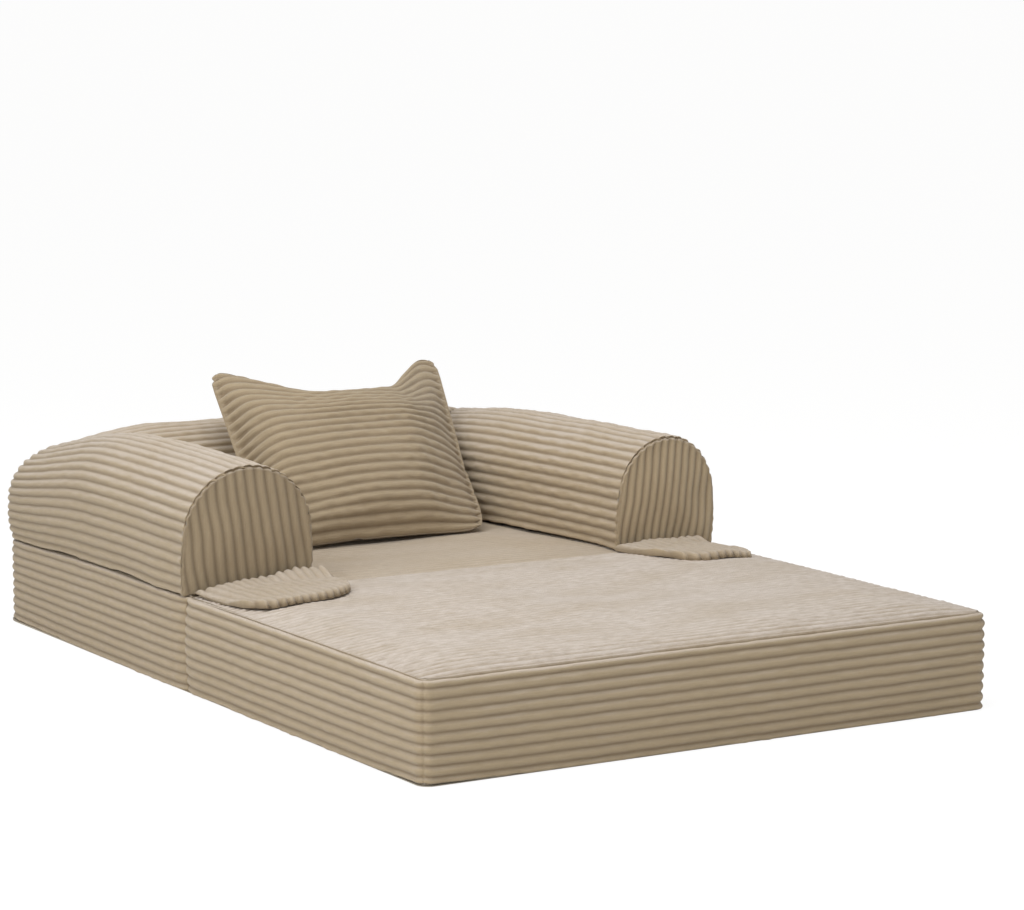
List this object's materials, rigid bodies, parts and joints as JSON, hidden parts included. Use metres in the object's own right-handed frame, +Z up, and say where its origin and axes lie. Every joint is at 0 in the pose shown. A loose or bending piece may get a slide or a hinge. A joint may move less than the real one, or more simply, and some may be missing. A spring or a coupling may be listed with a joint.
{
  "type": "chair bed",
  "caption": "Low fold-out foam chair bed in wide-rib corduroy: a seat between rounded arms and back, a front block that folds under, and a loose pillow.",
  "frame": {"origin": "on the floor, at the middle of the footprint of the unfolded bed", "axes": "+X across the bed, +Y from the foot of the bed to its back, +Z up"},
  "size_m": [1.245, 1.92, 0.5332],
  "materials": {
    "corduroy": "wide-rib quilted corduroy with a short soft pile, warm beige",
    "foam": "open-cell polyurethane foam",
    "lining": "thin plain-weave lining cloth",
    "hinge_tape": "strong woven tape",
    "zip_tape": "woven zip tape with a nylon coil",
    "zip_metal": "painted die-cast metal",
    "filling": "loose polyester fibre"
  },
  "bodies": {
    "seat_base": {"rear_foam_core": "foam", "seat_panel": "corduroy", "rear_boxing": "corduroy", "rear_fold_panel": "corduroy", "rear_bottom_near_panel": "lining", "rear_bottom_far_panel": "lining", "rear_zip_end_tabs": "lining", "rear_hinge_leaf": "hinge_tape", "rear_zip_tape": "zip_tape", "left_arm_core": "foam", "left_arm_cover": "corduroy", "left_arm_end_cap": "corduroy", "right_arm_core": "foam", "right_arm_cover": "corduroy", "right_arm_end_cap": "corduroy", "back_core": "foam", "back_cover": "corduroy"},
    "front_section": {"front_foam_core": "foam", "front_top_panel": "corduroy", "front_boxing": "corduroy", "front_fold_panel": "corduroy", "front_bottom_near_panel": "lining", "front_bottom_far_panel": "lining", "front_zip_end_tabs": "lining", "front_hinge_leaf": "hinge_tape", "front_zip_tape": "zip_tape"},
    "left_flap": {"left_flap_face": "corduroy", "left_flap_backing": "lining"},
    "right_flap": {"right_flap_face": "corduroy", "right_flap_backing": "lining"},
    "pillow": {"pillow_cover": "corduroy", "pillow_filling": "filling"},
    "front_zip_slider": {"front_zip_slider": "zip_metal"},
    "front_zip_pull": {"front_zip_pull": "zip_metal"},
    "rear_zip_slider": {"rear_zip_slider": "zip_metal"},
    "rear_zip_pull": {"rear_zip_pull": "zip_metal"}
  },
  "joints": [
    {"name": "front_fold", "type": "hinge", "parent": "seat_base", "child": "front_section", "pos_m": [0, -0.005, -0.0002], "axis": [1, 0, 0], "range_deg": [0, 180]},
    {"name": "left_flap_hang", "type": "hinge", "parent": "seat_base", "child": "left_flap", "pos_m": [-0.4885, -0.0051, 0.1993], "axis": [1, 0, 0], "range_deg": [0, 90]},
    {"name": "right_flap_hang", "type": "hinge", "parent": "seat_base", "child": "right_flap", "pos_m": [0.4885, -0.0051, 0.1993], "axis": [1, 0, 0], "range_deg": [0, 90]},
    {"name": "pillow_lift", "type": "slide", "parent": "seat_base", "child": "pillow", "axis": [0, 0, 1], "range_m": [0, 0.45]},
    {"name": "front_zip_run", "type": "slide", "parent": "front_section", "child": "front_zip_slider", "axis": [-1, 0, 0], "range_m": [0, 0.8554]},
    {"name": "front_pull_swing", "type": "hinge", "parent": "front_zip_slider", "child": "front_zip_pull", "pos_m": [0.4277, -0.4825, 0.0017], "axis": [0, -1, 0], "range_deg": [0, 180]},
    {"name": "rear_zip_run", "type": "slide", "parent": "seat_base", "child": "rear_zip_slider", "axis": [-1, 0, 0], "range_m": [0, 0.8554]},
    {"name": "rear_pull_swing", "type": "hinge", "parent": "rear_zip_slider", "child": "rear_zip_pull", "pos_m": [0.4277, 0.4775, 0.0017], "axis": [0, -1, 0], "range_deg": [0, 180]}
  ],
  "couplings": [
    {"joint": "left_flap_hang", "follows": "front_fold", "ratio": 0.5},
    {"joint": "right_flap_hang", "follows": "front_fold", "ratio": 0.5}
  ]
}
